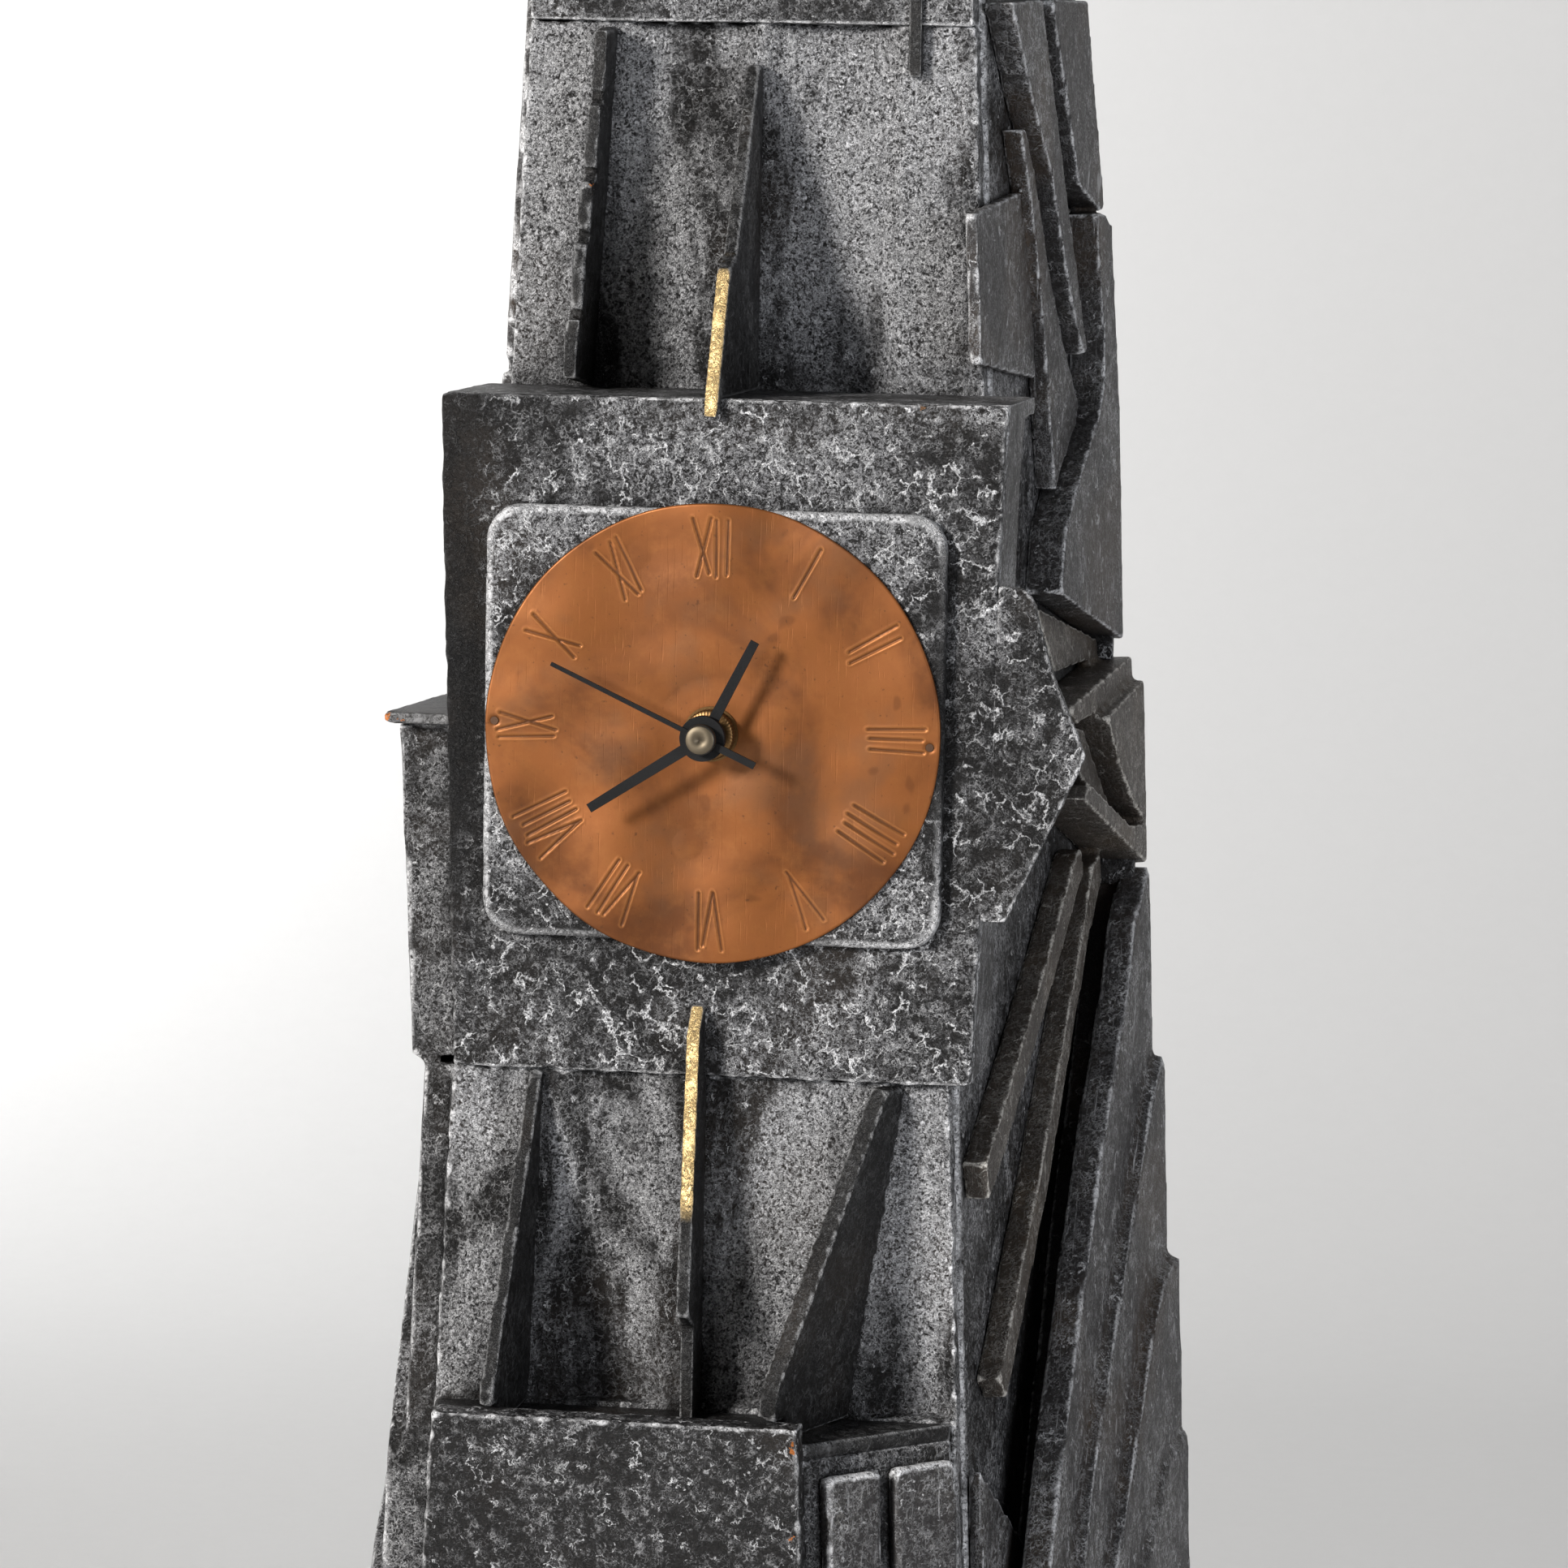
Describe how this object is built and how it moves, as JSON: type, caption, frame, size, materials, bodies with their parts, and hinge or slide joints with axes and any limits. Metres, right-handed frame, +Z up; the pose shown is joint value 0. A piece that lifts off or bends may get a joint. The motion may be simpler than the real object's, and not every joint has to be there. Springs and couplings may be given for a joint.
{
  "type": "steeple clock",
  "caption": "Tall tapering tower clock of layered painted boards with a steeple, a round copper dial with hands, a geared battery movement and a hinged back door",
  "frame": {"origin": "on the floor below the tower's axis, where its left and right walls' planes mirror each other", "axes": "+Z up, the dial faces -Y, +X to the right of someone who reads the dial"},
  "size_m": [0.3036, 0.2846, 1],
  "materials": {
    "painted_board": "thick crackled black paint over thin board, dry-brushed with silver on its raised texture and edges",
    "gilded_board": "board with worn gold leaf on its front edge",
    "copper_sheet": "copper sheet with a warm mottled patina and punched numerals",
    "black_metal": "matt black hands",
    "brass_turned": "turned brass",
    "case_plastic": "moulded black plastic",
    "wheel_plastic": "moulded ivory plastic",
    "steel": "plain steel",
    "copper_wire": "enamelled winding",
    "circuit_green": "green circuit board",
    "cell_wrap": "plain wrapped dry cell"
  },
  "bodies": {
    "carcase": {"back_board": "painted_board", "base_front_board": "painted_board", "base_left_cheek": "painted_board", "base_lid": "painted_board", "base_right_cheek": "painted_board", "base_right_slabs": "painted_board", "battery": "cell_wrap", "battery_contacts": "steel", "belfry_front_panel": "painted_board", "circuit_board": "circuit_green", "coil": "copper_wire", "copper_dial": "copper_sheet", "crown_deck": "painted_board", "dial_block_front": "painted_board", "dial_block_sides": "painted_board", "dial_pad": "painted_board", "dial_pins": "steel", "fixing_nut": "brass_turned", "fixing_washer": "brass_turned", "hinge_leaves_fixed": "brass_turned", "hinge_pins": "brass_turned", "ledge_board": "painted_board", "left_sheets": "painted_board", "left_upper_shards": "painted_board", "left_wall": "painted_board", "lower_front_panel": "painted_board", "lower_gold_fin": "gilded_board", "lower_left_fin": "painted_board", "lower_right_fin": "painted_board", "movement_front_case": "case_plastic", "movement_rear_case": "case_plastic", "plinth_board": "painted_board", "right_cluster_boards": "painted_board", "right_long_sheets": "painted_board", "right_upper_shards": "painted_board", "right_wall": "painted_board", "spire_core": "painted_board", "spire_fins": "painted_board", "spire_shards": "painted_board", "stator": "steel", "turn_button_screw": "brass_turned", "upper_front_panel": "painted_board", "upper_gold_fin": "gilded_board", "upper_stepped_fin": "painted_board", "upper_stick_fin": "painted_board", "wing_board": "painted_board"},
    "door": {"rear_door": "painted_board", "hinge_leaves_door": "brass_turned"},
    "turn_button": {"turn_button": "painted_board"},
    "second_hand": {"second_hand": "black_metal", "seconds_wheel": "wheel_plastic"},
    "minute_hand": {"minute_hand": "black_metal", "minute_wheel": "wheel_plastic"},
    "hour_hand": {"hour_hand": "black_metal", "hour_wheel": "wheel_plastic"},
    "third_wheel": {"third_wheel": "wheel_plastic"},
    "intermediate_wheel": {"intermediate_wheel": "wheel_plastic"},
    "rotor": {"rotor": "wheel_plastic"},
    "motion_wheel": {"motion_wheel": "wheel_plastic"},
    "setting_knob": {"setting_knob": "case_plastic"}
  },
  "joints": [
    {"name": "door_swing", "type": "hinge", "parent": "carcase", "child": "door", "pos_m": [0.06525, 0.1122, 0.52], "axis": [0, 0, -1], "range_deg": [0, 150]},
    {"name": "button_turn", "type": "hinge", "parent": "carcase", "child": "turn_button", "pos_m": [-0.066, 0.112, 0.52], "axis": [0, 1, 0], "range_deg": [0, 90]},
    {"name": "seconds_turn", "type": "hinge", "parent": "carcase", "child": "second_hand", "pos_m": [0.004, -0.09, 0.52], "axis": [0, 1, 0], "continuous": true},
    {"name": "minutes_turn", "type": "hinge", "parent": "carcase", "child": "minute_hand", "pos_m": [0.004, -0.09, 0.52], "axis": [0, 1, 0], "continuous": true},
    {"name": "hours_turn", "type": "hinge", "parent": "carcase", "child": "hour_hand", "pos_m": [0.004, -0.09, 0.52], "axis": [0, 1, 0], "continuous": true},
    {"name": "third_wheel_turn", "type": "hinge", "parent": "carcase", "child": "third_wheel", "pos_m": [-0.00535, -0.09, 0.5254], "axis": [0, 1, 0], "continuous": true},
    {"name": "intermediate_wheel_turn", "type": "hinge", "parent": "carcase", "child": "intermediate_wheel", "pos_m": [0.01243, -0.09, 0.52707], "axis": [0, 1, 0], "continuous": true},
    {"name": "rotor_turn", "type": "hinge", "parent": "carcase", "child": "rotor", "pos_m": [0.01099, -0.09, 0.53519], "axis": [0, 1, 0], "continuous": true},
    {"name": "motion_wheel_turn", "type": "hinge", "parent": "carcase", "child": "motion_wheel", "pos_m": [0.01302, -0.09, 0.51672], "axis": [0, 1, 0], "continuous": true},
    {"name": "setting_knob_turn", "type": "hinge", "parent": "carcase", "child": "setting_knob", "pos_m": [0.02484, -0.09, 0.5188], "axis": [0, 1, 0], "continuous": true}
  ],
  "couplings": [
    {"joint": "intermediate_wheel_turn", "follows": "seconds_turn", "ratio": -3},
    {"joint": "rotor_turn", "follows": "seconds_turn", "ratio": 30},
    {"joint": "third_wheel_turn", "follows": "seconds_turn", "ratio": -0.125},
    {"joint": "minutes_turn", "follows": "seconds_turn", "ratio": 0.016667},
    {"joint": "motion_wheel_turn", "follows": "seconds_turn", "ratio": -0.0055556},
    {"joint": "hours_turn", "follows": "seconds_turn", "ratio": 0.0013889},
    {"joint": "setting_knob_turn", "follows": "seconds_turn", "ratio": 0.0083333}
  ]
}
